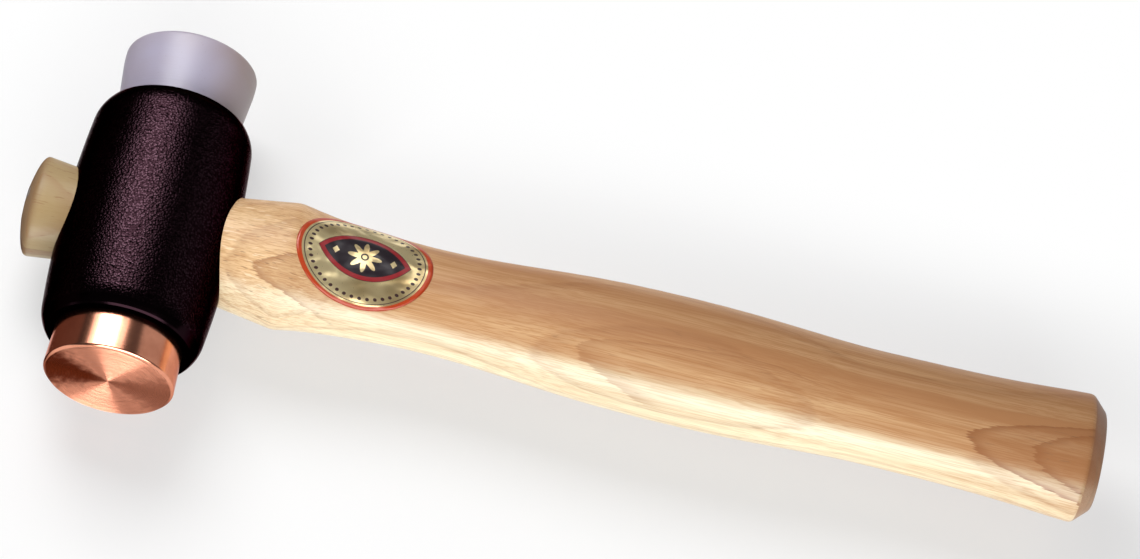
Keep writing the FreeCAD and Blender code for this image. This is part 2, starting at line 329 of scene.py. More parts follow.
@dataclass(frozen=True)
class Enamel:
    """Dark enamel, wrinkled as it dried, over the casting. It is smooth on the machined lips."""

    body: Colour = (0.0110, 0.0050, 0.0070)
    raised: Colour = (0.0365, 0.0195, 0.0258)
    lip: Colour = (0.0300, 0.0290, 0.0210)
    limb: Colour = (0.25, 0.125, 0.145)
    wrinkle: float = 0.68 * MM
    wrinkle_depth: float = 0.10 * MM
    casting_wave: float = 7 * MM
    casting_depth: float = 0.10 * MM
    lip_width: float = 2.6 * MM
    lip_wander: float = 0.6 * MM
    lip_wave: float = 6 * MM
    gloss_wave: float = 14 * MM
    roughness: float = 0.19

    def make(self, middle: Vector, half_length: float) -> bpy.types.Material:
        """Build the material.

        Args:
            middle: The middle of the barrel.
            half_length: Half the barrel's length, along Y.

        Returns:
            The material.
        """
        recipe = Recipe("cast_head_enamel")
        along = recipe.axes(recipe.place)[1] - middle.y
        edge = recipe.noise(recipe.place, 1 / self.lip_wave, 1.0)
        start, soft = half_length - self.lip_width, self.lip_wander / 2
        lip = (along.absolute() + (edge - 0.5) * self.lip_wander).rise(start - soft, start + soft)
        pimples = recipe.noise(recipe.place, 1.2 / self.wrinkle, 2.0, 0.55)
        folds = recipe.cells(recipe.place, 1 / self.wrinkle)
        height = (pimples * 0.6 - folds * folds * 1.1) * (1 - lip * 0.92)
        casting = recipe.noise(recipe.place, 1 / self.casting_wave)
        uneven = recipe.bump(casting, self.casting_depth)
        knobs = folds.rise(0.55, 0.25) * pimples.rise(0.3, 0.6)
        machined = lip * along.rise(0.0, half_length)
        patches = recipe.noise(recipe.place, 1 / self.gloss_wave, 3.0)
        layers = ((knobs, self.raised), (lip, self.body), (machined, self.lip))
        return recipe.finish(
            base_color=recipe.layered(self.body, *layers),
            metallic=1.0,
            roughness=self.roughness + (patches - 0.5) * 0.08,
            normal=recipe.bump(height, self.wrinkle_depth, uneven),
            specular_tint=(*self.limb, 1.0),
        )


class Lathe:
    """Where a point of a turned piece lies, seen from the piece's own axis."""

    def __init__(self, recipe: Recipe, middle: Vector) -> None:
        """Measure from the axis, which runs along Y.

        Args:
            recipe: The piece's material in the making.
            middle: A point on the axis.
        """
        self.place = recipe.moved(recipe.place, (-middle.x, 0.0, -middle.z))
        self.x, self.along, self.z = recipe.axes(self.place)
        self.radius = self.x.hypotenuse(self.z)
        self.round_the_side = recipe.vector(0.0, self.along, 0.0)


@dataclass(frozen=True)
class Copper:
    """Turned copper: fine rings on the striking face and fine lines round the side. A bow of painted dark
    reflection lies across the face, and painted shade along part of its rim.
    """

    metal: Colour = (0.86, 0.365, 0.23)
    tarnish_and_dim_sheen: Colour = (0.50, 0.16, 0.085)
    painted_dark: Colour = (0.11, 0.017, 0.007)
    # The colour of the painted dark reflection and painted shade on the face and rim
    limb: Colour = (0.84, 0.55, 0.49)
    painted_bow_turn: float = math.radians(86)
    ring: float = 0.42 * MM
    ring_slope: float = 1.45
    ring_wander: float = 0.5 * MM
    wander_wave: float = 5 * MM
    line: float = 0.40 * MM
    line_slope: float = 0.22
    worn_wave: float = 9 * MM
    mottled_wave: float = 2.6 * MM

    def make(self, middle: Vector, face: float, rim: float) -> bpy.types.Material:
        """Build the material.

        Args:
            middle: A point on the piece's axis.
            face: The striking face's place along Y.
            rim: The radius of the flat part of the face.

        Returns:
            The material.
        """
        recipe = Recipe("turned_copper")
        lathe = Lathe(recipe, middle)
        x, z, behind = lathe.x, lathe.z, lathe.along - face
        on_face = behind.rise(0.4 * MM, 0.1 * MM)
        turned = lathe.radius + recipe.noise(lathe.place, 1 / self.wander_wave, 1.0) * self.ring_wander
        uneven = recipe.noise(recipe.vector(turned, 0.0, 0.0), 1 / self.ring, 3.0, 0.65)
        rings = (turned * (FULL_TURN / self.ring) + uneven * 5).sine() * (0.55 + uneven * 0.6)
        lines = recipe.noise(lathe.round_the_side, 1 / self.line, 3.0, 0.6) - 0.5
        way = recipe.layered((0.0, 1.0, 0.0), (on_face, recipe.unit(recipe.vector(x, 0.0, z))))
        slope = lines * self.line_slope * (1 - on_face) + rings * self.ring_slope * on_face
        waves = (self.worn_wave, self.mottled_wave)
        worn, mottled = (recipe.noise(lathe.place, 1 / wave, 4.0, 0.6) for wave in waves)
        # A bow of painted dark reflection across the face, where the turned rings would mirror dark
        # surroundings, mottled and stronger towards -X
        across = 0.5 - ((z.angle(x) - self.painted_bow_turn) * 2).cosine() * 0.5
        painted_bow = (across + (mottled - 0.5) * 0.7).rise(0.38, 0.95) * (0.62 + x.rise(4 * MM, -6 * MM) * 0.38)
        # Painted shade along the lower part of the rim's bevel
        edge = lathe.radius.rise(rim, rim * 1.02) * (z + x * 0.3).rise(7 * MM, -5 * MM) * 0.75
        dark = (painted_bow * on_face + edge * behind.rise(1.4 * MM, 1.0 * MM)).smaller(1.0)
        dull = worn.rise(0.4, 0.75) * (0.4 - on_face * 0.2)
        return recipe.finish(
            base_color=recipe.layered(self.metal, (dull, self.tarnish_and_dim_sheen), (dark, self.painted_dark)),
            metallic=1.0,
            specular_tint=(*self.limb, 1.0),
            roughness=0.15 + on_face * 0.12 + worn * 0.06,
            normal=recipe.leaning(way, slope),
        )


@dataclass(frozen=True)
class Nylon:
    """Pale natural nylon, satin from turning."""

    body: Colour = (0.385, 0.36, 0.465)
    warm_tone_and_bounce: Colour = (0.32, 0.25, 0.245)
    speck: Colour = (0.24, 0.20, 0.22)
    line_pitch: float = 0.6 * MM
    line_depth: float = 0.042 * MM
    cloud_wave: float = 16 * MM
    speck_pitch: float = 2.2 * MM

    def make(self, middle: Vector, face: float) -> bpy.types.Material:
        """Build the material.

        Args:
            middle: A point on the piece's axis.
            face: The striking face's place along Y.

        Returns:
            The material.
        """
        recipe = Recipe("turned_nylon")
        lathe = Lathe(recipe, middle)
        beyond = lathe.along - face
        round_the_face = recipe.vector(lathe.radius, 0.0, 0.0)
        side_lines, face_lines = (
            recipe.noise(way, 1 / self.line_pitch, 3.0, 0.7) for way in (lathe.round_the_side, round_the_face)
        )
        lines = side_lines + (face_lines - side_lines) * beyond.rise(-0.5 * MM, -0.2 * MM)
        cloud = recipe.noise(lathe.place, 1 / self.cloud_wave)
        # Warmer near the face and in random clouds; much warmer towards +X, the side towards the handle,
        # which is painted warm reflected light
        warmth_and_bounce = beyond.rise(-9 * MM, 0.0) * 0.25 + cloud.rise(0.35, 0.75) * 0.2
        warmth_and_bounce = (warmth_and_bounce + lathe.x.rise(2 * MM, 16 * MM) * 0.75).smaller(1.0)
        specks = recipe.cells(lathe.place, 1 / self.speck_pitch).rise(0.10, 0.04) * 0.35
        return recipe.finish(
            base_color=recipe.layered(self.body, (warmth_and_bounce, self.warm_tone_and_bounce), (specks, self.speck)),
            roughness=0.32 + lines * 0.12,
            normal=recipe.bump(lines, self.line_depth),
            subsurface_weight=0.25,
            subsurface_radius=(1.0, 0.8, 0.9),
            subsurface_scale=2.0 * MM,
        )


class Timber:
    """The coordinates of a piece of wood, and the noise that runs along its fibres."""

    def __init__(self, recipe: Recipe, axis: Vector) -> None:
        """Read the noise, from the widest to the finest.

        Args:
            recipe: The piece's material in the making.
            axis: A point on the handle's axis, at the head.
        """
        place = recipe.moved(recipe.place, -axis)
        self.x, self.y, self.z = recipe.axes(place)
        self.sway = recipe.drawn(place, (10.0, 60.0, 60.0)) - 0.5
        self.bands = recipe.drawn(place, (5.0, 190.0, 190.0))
        self.streaks = recipe.drawn(place, (13.0, 900.0, 900.0), 3.0, 0.6)
        self.threads = recipe.drawn(place, (50.0, 2700.0, 2700.0), 2.0, 0.6)
        self.pits = recipe.drawn(place, (170.0, 1500.0, 1500.0), 1.0)


@dataclass(frozen=True)
class Arch:
    """One arch of the grain on the broad side, a growth ring cut at a slant. It opens towards the butt."""

    apex: float
    middle: float
    spread_low: float
    spread_high: float
    line: float
    inside: float
    end_low: float
    end_high: float
    strength: float = 0.8
    drift: float = 0.0
    drift_start: float = 178 * MM
    drift_end: float = 232 * MM
    fade: float = 25 * MM

    def shade(self, x: Signal, y: Signal, feather: Signal) -> Signal:
        """How brown the arch makes the wood.

        Args:
            x: The place along the handle.
            y: The place across it.
            feather: How far the fibres shift the arch's edge along the handle.

        Returns:
            The share of brown, strongest at the arch's edge.
        """
        aside = y - self.middle - x.rise(self.drift_start, self.drift_end) * self.drift
        high = aside.rise(-0.4 * MM, 0.4 * MM)
        bend = 1 / self.spread_low + high * (1 / self.spread_high - 1 / self.spread_low)
        past = x - self.apex - aside * aside * bend + feather
        line = past.rise(self.line, 0.3 * MM) * (1 - self.inside) + self.inside
        low_arm, high_arm = (x.rise(end, end - self.fade) for end in (self.end_low, self.end_high))
        return past.rise(0.0, 1.0 * MM) * line * (low_arm + (high_arm - low_arm) * high) * self.strength


# The two arches at the butt run on past it, so their arms end nowhere on the handle.
ARCHES = (
    Arch(31.8 * MM, -9.6 * MM, 2.4 * MM, 2.8 * MM, 5.0 * MM, 0.45, 66 * MM, 90 * MM),
    Arch(128 * MM, -9.3 * MM, 4.4 * MM, 1.1 * MM, 12 * MM, 0.30, 170 * MM, 214 * MM, 0.44, -10 * MM),
    Arch(244.6 * MM, -8.2 * MM, 3.1 * MM, 3.1 * MM, 7.0 * MM, 0.48, 400 * MM, 400 * MM, 0.92),
    Arch(263.7 * MM, -8.4 * MM, 4.3 * MM, 4.3 * MM, 7.0 * MM, 0.58, 400 * MM, 400 * MM, 0.92),
)


@dataclass(frozen=True)
class Ash:
    """Waxed ash with arches of grain on its broad sides and long lines on its narrow ones. Its lower flank
    carries a painted sheen, and its upper side and stub painted shade.
    """

    pale: Colour = (0.88, 0.63, 0.355)
    sapwood_and_sheen_cream: Colour = (0.96, 0.93, 0.66)
    tan: Colour = (0.55, 0.285, 0.11)
    brown: Colour = (0.42, 0.197, 0.080)
    ring_brown: Colour = (0.27, 0.098, 0.034)
    dull: Colour = (0.35, 0.25, 0.12)
    end_grain: Colour = (0.25, 0.15, 0.075)
    pore: Colour = (0.26, 0.13, 0.06)
    fleck: Colour = (0.95, 0.80, 0.58)
    heart_y: float = 3.5 * MM
    heart_z: float = -14.0 * MM
    ring: float = 2.6 * MM
    ring_sway: float = 1.2 * MM
    ring_fray: float = 0.3 * MM
    end_ring: float = 1.5 * MM
    arches: Tuple[Arch, ...] = ARCHES
    back_shift: float = 47 * MM
    bevel: float = 4.8 * MM
    relief: float = 0.05 * MM

    def make(self, name: str, axis: Vector, butt: float) -> bpy.types.Material:
        """Build the material.

        Args:
            name: The material's name.
            axis: A point on the handle's axis, at the head.
            butt: The butt's place along X.

        Returns:
            The material.
        """
        recipe = Recipe(name)
        wood = Timber(recipe, axis)
        x, y, z = wood.x, wood.y, wood.z
        length = butt - axis.x
        grown = (y - self.heart_y).hypotenuse(z - self.heart_z) + wood.sway * self.ring_sway
        early = self.early(wood, grown)
        near_head = x.rise(75 * MM, 25 * MM)
        near_butt = (x / length).rise(0.70, 0.98)
        pores = wood.pits.rise(0.66, 0.74) * (early * 0.7 + near_head * 0.45 + 0.10)
        flecks = wood.pits.rise(0.36, 0.28) * near_head * x.rise(0.0, 20 * MM) * 0.4
        # Cream along the lower, -Y flank, which faces the low front light: partly pale sapwood, partly a
        # painted sheen
        sapwood_and_sheen = (y + z * 0.35).rise(-7 * MM, -13 * MM) * (0.90 - near_butt * 0.22 - near_head * 0.32)
        # Browner towards the butt, the wood's own tone, and browner on the upper, +Y side away from the low
        # front light, which is painted shade
        over = (y + z * 0.5).rise(-10 * MM, 10 * MM)
        heartwood_and_shade = (x / length).rise(0.0, 0.40) * (0.56 + over * 0.22) + 0.15 + over * 0.09 + near_butt * 0.15
        bands = wood.bands.rise(0.35, 0.65)
        grain = wood.streaks.rise(0.40, 0.68) * 0.17 + wood.threads.rise(0.42, 0.64) * 0.55 + bands * 0.27
        bevelled = x.rise(length - self.bevel, length - self.bevel + 0.5 * MM) * 0.85
        cross_cut = x.rise(length - 3.6 * MM, length - 0.6 * MM) + x.rise(-33 * MM, -34.5 * MM)
        end_lines = (grown / self.end_ring).fraction().rise(0.25, 0.95)
        layers = (
            (sapwood_and_sheen, self.sapwood_and_sheen_cream),
            (grain * (1 - sapwood_and_sheen * 0.5), self.tan),
            (heartwood_and_shade * (1 - sapwood_and_sheen * 0.7) * (0.69 + bands * 0.21 + grain * 0.17), self.brown),
            # The stub beyond the head in a duller khaki: partly the wood's tone, partly painted shade
            (x.rise(0.0, -20 * MM) * 0.92, self.dull),
            (x.rise(-31 * MM, -34 * MM) * 0.85, self.end_grain),
            (early.larger(bevelled) * 0.85, self.ring_brown),
            (cross_cut * end_lines * 0.55, self.end_grain),
            (flecks, self.fleck),
            (pores, self.pore),
        )
        relief = wood.threads * 0.5 + wood.streaks * 0.5 - pores * 0.8
        return recipe.finish(
            base_color=recipe.layered(self.pale, *layers),
            roughness=0.42 + wood.threads * 0.12 + pores * 0.2,
            normal=recipe.bump(relief, self.relief),
            specular_ior_level=0.28,
            coat_weight=0.12 + sapwood_and_sheen * 0.65,
            coat_roughness=0.30,
        )

    def early(self, wood: Timber, grown: Signal) -> Signal:
        """How brown the spring growth is: faint lines all through, and the arches on the broad sides.

        Args:
            wood: The piece's coordinates and fibres.
            grown: The distance from the tree's heart, with its sway.

        Returns:
            The share of brown.
        """
        ring = ((grown + wood.streaks * self.ring_fray) / self.ring).fraction()
        brown = ring.rise(0.35, 0.0) * ring.rise(0.0, 0.08) * 0.35
        upper = wood.z.rise(-1 * MM, 1 * MM)
        broad = wood.z.absolute().rise(1.5 * MM, 5 * MM)
        x = wood.x + (1 - upper) * self.back_shift
        y = wood.y * (upper * 2 - 1)
        feather = (wood.streaks - 0.5) * (6 * MM) + (wood.threads - 0.5) * (5 * MM) + wood.sway * (3 * MM)
        for arch in self.arches:
            brown = brown.larger(arch.shade(x, y, feather) * broad)
        return brown


@dataclass(frozen=True)
class WedgeSteel:
    """Plain stamped steel with a drawn grain, a little browned."""

    metal: Colour = (0.40, 0.39, 0.38)
    rust: Colour = (0.16, 0.09, 0.05)
    patch_wave: float = 1.6 * MM
    relief: float = 0.03 * MM

    def make(self, name: str) -> bpy.types.Material:
        """Build the material.

        Args:
            name: The material's name.

        Returns:
            The material.
        """
        recipe = Recipe(name)
        grain = recipe.drawn(recipe.place, (900.0, 4500.0, 300.0), 3.0)
        patch = recipe.noise(recipe.place, 1 / self.patch_wave, 4.0, 0.65)
        rust = patch.rise(0.52, 0.70)
        return recipe.finish(
            base_color=recipe.layered(self.metal, (rust, self.rust)),
            metallic=0.60 - rust * 0.5,
            roughness=0.34 + rust * 0.35 + grain * 0.12,
            normal=recipe.bump(grain * 0.5 + patch, self.relief),
        )


@dataclass(frozen=True)
class Foil:
    """Gold foil transfer: a red border, a ring of beads and a dark pointed panel with a rosette."""

    gold: Colour = (0.96, 0.79, 0.44)
    # The dim gold where the foil shows a painted dim reflection
    tarnish_and_dim_sheen: Colour = (0.54, 0.385, 0.175)
    border: Colour = (0.43, 0.045, 0.008)
    line: Colour = (0.035, 0.012, 0.012)
    panel: Colour = (0.012, 0.006, 0.010)
    panel_edge: Colour = (0.26, 0.014, 0.018)
    border_width: float = 1.225 * MM
    line_inset: float = 1.85 * MM
    line_half: float = 0.125 * MM
    beads: int = 44
    bead_inset: float = 3.2 * MM
    bead_radius: float = 0.51 * MM
    bead_spacing: float = 0.8
    panel_round: float = 16.56 * MM
    panel_drop: float = 9.0 * MM
    edge_inset: float = 0.85 * MM
    edge_half: float = 0.65 * MM
    petals: int = 8
    petal_reach: float = 3.7 * MM
    petal_swell: float = 1.35 * MM
    eye_radius: float = 1.2 * MM
    pupil_radius: float = 0.725 * MM
    stud_place: float = 8.6 * MM
    stud_half: float = 1.025 * MM
    ripple: float = 2.0 * MM
    print_depth: float = 0.008 * MM
    print_grit: float = 0.5 * MM

    def make(self, half_length: float, half_width: float) -> bpy.types.Material:
        """Build the material. It reads the label's own map, whose middle is (0.5, 0.5).

        Args:
            half_length: Half the label's length.
            half_width: Half its width, measured round the grip.

        Returns:
            The material.
        """
        recipe = Recipe("foil_transfer")
        centred = recipe.moved(recipe.node("ShaderNodeTexCoord", {}, {}, "UV"), (-0.5, -0.5, 0.0))
        x, y, _ = recipe.axes(recipe.stretched(centred, (2 * half_length, 2 * half_width, 1.0)))
        long_share, wide_share = x / half_length, y / half_width
        inset = (1 - long_share.hypotenuse(wide_share)) * half_width
        border = inset.within(self.border_width, 0.075 * MM)
        line = (inset - self.line_inset).absolute().within(self.line_half, 0.045 * MM)
        from_bead = (wide_share.angle(long_share) * (self.beads / FULL_TURN)).fraction() - 0.5
        spacing = (half_length + half_width) * math.pi / self.beads * self.bead_spacing
        bead = (from_bead * spacing).hypotenuse(inset - self.bead_inset)
        beads = bead.within(self.bead_radius, 0.07 * MM)
        pointed = x.hypotenuse(y.absolute() + self.panel_drop) - self.panel_round
        panel = pointed.within(0.0, 0.12 * MM)
        panel_edge = (pointed + self.edge_inset).absolute().within(self.edge_half, 0.07 * MM)
        bright = self.rosette(x, y)
        # Broad patches of bright and dim gold: a painted reflection, as crinkled foil mirrors its
        # surroundings
        sheen = recipe.drawn(recipe.place, (60.0, 95.0, 95.0), 2.0, 0.45)
        gold = recipe.layered(self.tarnish_and_dim_sheen, (sheen.rise(0.34, 0.58), self.gold))
        layers = (
            (line, self.line),
            (beads, self.line),
            (panel, self.panel),
            (panel_edge, self.panel_edge),
            (panel * bright, gold),
            (border, self.border),
        )
        ink = (line + beads + panel * (1 - bright) + border + panel_edge).smaller(1.0)
        ripples = recipe.bump(recipe.drawn(recipe.place, (75.0, 120.0, 120.0), 2.0, 0.45), self.ripple)
        grit = recipe.noise(recipe.place, 1 / self.print_grit)
        return recipe.finish(
            base_color=recipe.layered(gold, *layers),
            metallic=0.80 - ink * 0.75,
            roughness=0.26 + ink * 0.06 + grit * 0.05,
            normal=recipe.bump(grit * 0.2 + ink * 0.8, self.print_depth, ripples),
            coat_weight=0.2,
            coat_roughness=0.10,
        )

    def rosette(self, x: Signal, y: Signal) -> Signal:
        """The bright figure on the panel: petals round a ringed eye, and a stud at each side.

        Args:
            x: The place along the label, from its middle.
            y: The place across it.

        Returns:
            1 on the figure.
        """
        reach = x.hypotenuse(y)
        tip = self.petal_reach + (y.angle(x) * self.petals).cosine() * self.petal_swell
        petals = (reach - tip).within(0.0, 0.10 * MM) * (1 - reach.within(self.eye_radius, 0.10 * MM))
        pupil = reach.within(self.pupil_radius, 0.075 * MM)
        aside = (x.absolute() - self.stud_place).absolute() + y.absolute() * 0.8
        return (petals + pupil + aside.within(self.stud_half, 0.075 * MM)).smaller(1.0)


@dataclass(frozen=True)
class Paper:
    """The plain pale table top, which gives way to an even white a hand's breadth from the hammer."""

    tone: Colour = (0.82, 0.82, 0.82)
    white: float = 1.0
    near_share: float = 0.50
    near: float = 0.03
    fade: float = 0.09
    fibre: float = 1.5 * MM
    fibre_depth: float = 0.02 * MM

    def make(self, head: Vector, butt: Vector, reach: float) -> bpy.types.Material:
        """Build the material.

        Args:
            head: The middle of the head.
            butt: The middle of the butt.
            reach: How far the head's faces stand out along Y.

        Returns:
            The material.
        """
        recipe = Recipe("table_paper")
        x, y, _ = recipe.axes(recipe.place)
        beside = y - head.y
        to_head = (x - head.x).hypotenuse(beside - beside.larger(-reach).smaller(reach))
        to_grip = (x - x.larger(head.x).smaller(butt.x)).hypotenuse(y - butt.y)
        fibres = recipe.noise(recipe.place, 1 / self.fibre, 3.0)
        normal = recipe.bump(fibres, self.fibre_depth)
        material = recipe.finish(base_color=(*self.tone, 1.0), roughness=0.9, normal=normal)
        light = recipe.node("ShaderNodeEmission", {}, {"Strength": self.white})
        rays = recipe.node("ShaderNodeLightPath", {}, {}).socket.node.outputs
        kinds = ("Is Camera Ray", "Is Glossy Ray", "Is Transmission Ray")
        camera, glossy, through = (Signal(recipe, rays[kind]) for kind in kinds)
        seen = (camera + glossy + through).smaller(1.0)
        # The floor glows less near the hammer: a painted pool of shade round it, besides its real shadows
        away = to_head.smaller(to_grip).rise(self.near, self.fade)
        share = (self.near_share + away * (1 - self.near_share)) * seen
        paper = Signal(recipe, recipe.shader.outputs[0])
        shown = recipe.node("ShaderNodeMixShader", {}, {0: share, 1: paper, 2: light})
        recipe.feed(recipe.output.inputs["Surface"], shown)
        return material


@dataclass(frozen=True)
class Felt:
    """The dark card's face, black above and a dim brown glow below."""

    nap: Colour = (0.004, 0.004, 0.004)
    glow: Colour = (0.110, 0.060, 0.048)
    dim: Colour = (0.01, 0.004, 0.004)
    dim_from: float = 60 * MM
    fade: float = 6 * MM

    def make(self) -> bpy.types.Material:
        """Build the material.

        Returns:
            The material.
        """
        recipe = Recipe("black_felt")
        nap = recipe.noise(recipe.place, 1 / MM)
        high = recipe.axes(recipe.place)[2].rise(self.dim_from - self.fade, self.dim_from)
        return recipe.finish(
            base_color=(*self.nap, 1.0),
            roughness=0.85 + nap * 0.1,
            emission_color=recipe.layered(self.glow, (high, self.dim)),
            emission_strength=1.0,
        )


class Blank:
    """A mesh in the making, and how it becomes a piece of the scene."""

    def __init__(self) -> None:
        """Start with nothing."""
        self.mesh = bmesh.new()

    def spun(self, corners: Sequence[Triple], centre: Vector, axis: Triple, steps: int) -> None:
        """Turn a line of corners once round an axis.

        Args:
            corners: The corners, in order.
            centre: A point on the axis.
            axis: The axis's direction.
            steps: How many faces lie round it.
        """
        line = [self.mesh.verts.new(corner) for corner in corners]
        edges = [self.mesh.edges.new(pair) for pair in zip(line, line[1:])]
        bmesh.ops.spin(
            self.mesh,
            geom=line + edges,
            cent=centre,
            axis=axis,
            angle=FULL_TURN,
            steps=steps,
            use_merge=True,
        )

    def turn(self, outline: Sequence[Station], centre: Vector, steps: int) -> None:
        """Turn a half outline once round an axis along Y.

        Args:
            outline: The radius and the place along Y of each corner, from axis to axis.
            centre: A point on the axis.
            steps: How many faces lie round it.
        """
        corners = [(centre.x + radius, along, centre.z) for radius, along in outline]
        self.spun(corners, centre, (0.0, 1.0, 0.0), steps)
        self.tidy()

    def tidy(self) -> None:
        """Merge doubles and point every face outwards."""
        bmesh.ops.remove_doubles(self.mesh, verts=self.mesh.verts, dist=0.002 * MM)
        bmesh.ops.recalc_face_normals(self.mesh, faces=self.mesh.faces)

    def edges_at(self, place: float, axis: int) -> List[bmesh.types.BMEdge]:
        """The edges that lie at a place along the axis of that number."""
        edges = self.mesh.edges
        return [edge for edge in edges if all(abs(v.co[axis] - place) < 0.005 * MM for v in edge.verts)]

    def rounded(self, edges: Sequence[bmesh.types.BMEdge], offset: float, segments: int) -> None:
        """Round some edges.

        Args:
            edges: The edges.
            offset: How far the rounding reaches from each.
            segments: How many faces make the rounding.
        """
        bmesh.ops.bevel(
            self.mesh,
            geom=edges,
            offset=offset,
            offset_type="OFFSET",
            segments=segments,
            profile=0.5,
            affect="EDGES",
            material=-1,
            clamp_overlap=True,
        )

    def piece(self, name: str, sharp: float = math.radians(40)) -> bpy.types.Object:
        """Make the mesh an object of the scene, smooth except at its sharp edges.

        Args:
            name: The piece's name.
            sharp: The angle from which an edge stays sharp.

        Returns:
            The object, at the origin.
        """
        data = bpy.data.meshes.new(name)
        self.mesh.to_mesh(data)
        self.mesh.free()
        data.shade_smooth()
        data.set_sharp_from_angle(angle=sharp)
        made = bpy.data.objects.new(name, data)
        bpy.context.scene.collection.objects.link(made)
        return made


def worked(piece: bpy.types.Object, tool: bpy.types.Object, joining: Joining) -> bpy.types.Object:
    """Cut a piece with a tool, join the two, or keep what they share.

    Args:
        piece: The closed mesh to work on.
        tool: The closed mesh that works on it.
        joining: Which of the three.

    Returns:
        The worked piece, with no modifier left.
    """
    modifier = piece.modifiers.new(joining.name, "BOOLEAN")
    modifier.operation = joining.value
    modifier.solver = "EXACT"
    modifier.object = tool
    bpy.context.view_layer.update()
    graph = bpy.context.evaluated_depsgraph_get()
    data = bpy.data.meshes.new_from_object(piece.evaluated_get(graph))
    piece.modifiers.clear()
    piece.data = data
    return piece


def dress(piece: bpy.types.Object, material: bpy.types.Material) -> None:
    """Give a piece one material."""
    piece.data.materials.clear()
    piece.data.materials.append(material)


def turned_piece(blank: Blank, name: str, material: bpy.types.Material) -> bpy.types.Object:
    """Make a turned blank a piece whose normals follow its larger faces, so that narrow rims shade well.

    Args:
        blank: The turned mesh.
        name: The piece's name.
        material: Its material.

    Returns:
        The piece.
    """
    made = blank.piece(name, math.radians(50))
    made.modifiers.new("crisp", "WEIGHTED_NORMAL").keep_sharp = True
    dress(made, material)
    return made


@dataclass
class CastHead:
    """The barrel, which keeps its solid."""

    enamel: Enamel = Enamel()

    def build(self, frame: Dict[str, object]) -> List[bpy.types.Object]:
        """Dress the casting.

        Args:
            frame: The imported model.

        Returns:
            The casting.
        """
        low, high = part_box("head_casting")
        casting = frame["nodes"]["head_casting"]
        dress(casting, self.enamel.make((low + high) / 2, (high.y - low.y) / 2))
        return [casting]


@dataclass
class CopperFace:
    """The turned copper plug, with its bevelled rim softened and the lathe's centre mark."""

    chamfer: float = 1.0 * MM
    chamfer_round: float = 0.22 * MM
    taper: float = 0.85 * MM
    lead: float = 1.0 * MM
    mark_radius: float = 0.5 * MM
    mark_depth: float = 0.12 * MM
    steps: int = 160
    finish: Copper = Copper()

    def build(self) -> List[bpy.types.Object]:
        """Turn the plug and dress it.

        Returns:
            The plug.
        """
        low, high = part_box("copper_face")
        centre = (low + high) / 2
        rim = (high.x - low.x) / 2
        root = rim - self.taper
        outline = (
            (0.0, low.y + self.mark_depth),
            (self.mark_radius, low.y),
            (rim - self.chamfer, low.y),
            (rim, low.y + self.chamfer),
            (root, high.y - self.lead),
            (root - self.lead, high.y),
            (0.0, high.y),
        )
        blank = Blank()
        blank.turn(outline, centre, self.steps)
        blank.rounded(blank.edges_at(low.y + self.chamfer, 1), self.chamfer_round, 3)
        copper = self.finish.make(centre, low.y, rim - self.chamfer)
        made = turned_piece(blank, "copper_face_turned", copper)
        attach(made, "copper_plug")
        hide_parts("copper_face")
        return [made]


@dataclass
class NylonFace:
    """The turned nylon plug, flared to a rounded rim."""

    band: float = 4.0 * MM
    band_round: float = 1.6 * MM
    rim_round: float = 1.3 * MM
    flare: float = 1.7 * MM
    taper: float = 0.6 * MM
    lead: float = 1.0 * MM
    reach: float = 20.9 * MM
    steps: int = 160
    finish: Nylon = Nylon()

    def build(self) -> List[bpy.types.Object]:
        """Turn the plug and dress it.

        Returns:
            The plug.
        """
        low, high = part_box("nylon_face")
        centre = (low + high) / 2
        rim = (high.x - low.x) / 2
        mouth = rim - self.flare
        root = mouth - self.taper
        outline = (
            (0.0, low.y),
            (root - self.lead, low.y),
            (root, low.y + self.lead),
            (mouth, high.y - self.reach),
            (rim, high.y - self.band),
            (rim, high.y),
            (rim - 4 * self.rim_round, high.y),
            (0.0, high.y),
        )
        blank = Blank()
        blank.turn(outline, centre, self.steps)
        corner = [
            edge
            for edge in blank.edges_at(high.y, 1)
            if all(math.hypot(v.co.x - centre.x, v.co.z - centre.z) > rim - 0.01 * MM for v in edge.verts)
        ]
        blank.rounded(corner, self.rim_round, 6)
        blank.rounded(blank.edges_at(high.y - self.band, 1), self.band_round, 4)
        made = turned_piece(blank, "nylon_face_turned", self.finish.make(centre, high.y))
        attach(made, "nylon_plug")
        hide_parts("nylon_face")
        return [made]


@dataclass(frozen=True)
class Wedge:
    """A wedge in the stub's end, thin at its tip."""

    depth: float
    width: float
    thick: float
    tip: float
    upright: bool

    def blank(self, entry: Vector, seam: float) -> bpy.types.Object:
        """The closed wedge before it is trimmed to the stub.

        Args:
            entry: The middle of the stub's end.
            seam: How much slimmer it is all round than its slot.

        Returns:
            The wedge.
        """
        blank = Blank()
        bmesh.ops.create_cube(blank.mesh, size=1.0)
        outer_thick = self.thick + (self.thick - self.tip) * OVERRUN / self.depth
        for vertex in blank.mesh.verts:
            at_tip = vertex.co.x > 0
            x = self.depth - seam if at_tip else -OVERRUN
            across = math.copysign(self.width / 2 - seam, vertex.co.y)
            through = math.copysign((self.tip if at_tip else outer_thick) / 2 - seam, vertex.co.z)
            vertex.co = entry + Vector((x, through, across) if self.upright else (x, across, through))
        blank.mesh.normal_update()
        bmesh.ops.recalc_face_normals(blank.mesh, faces=blank.mesh.faces)
        return blank.piece("wedge_blank")


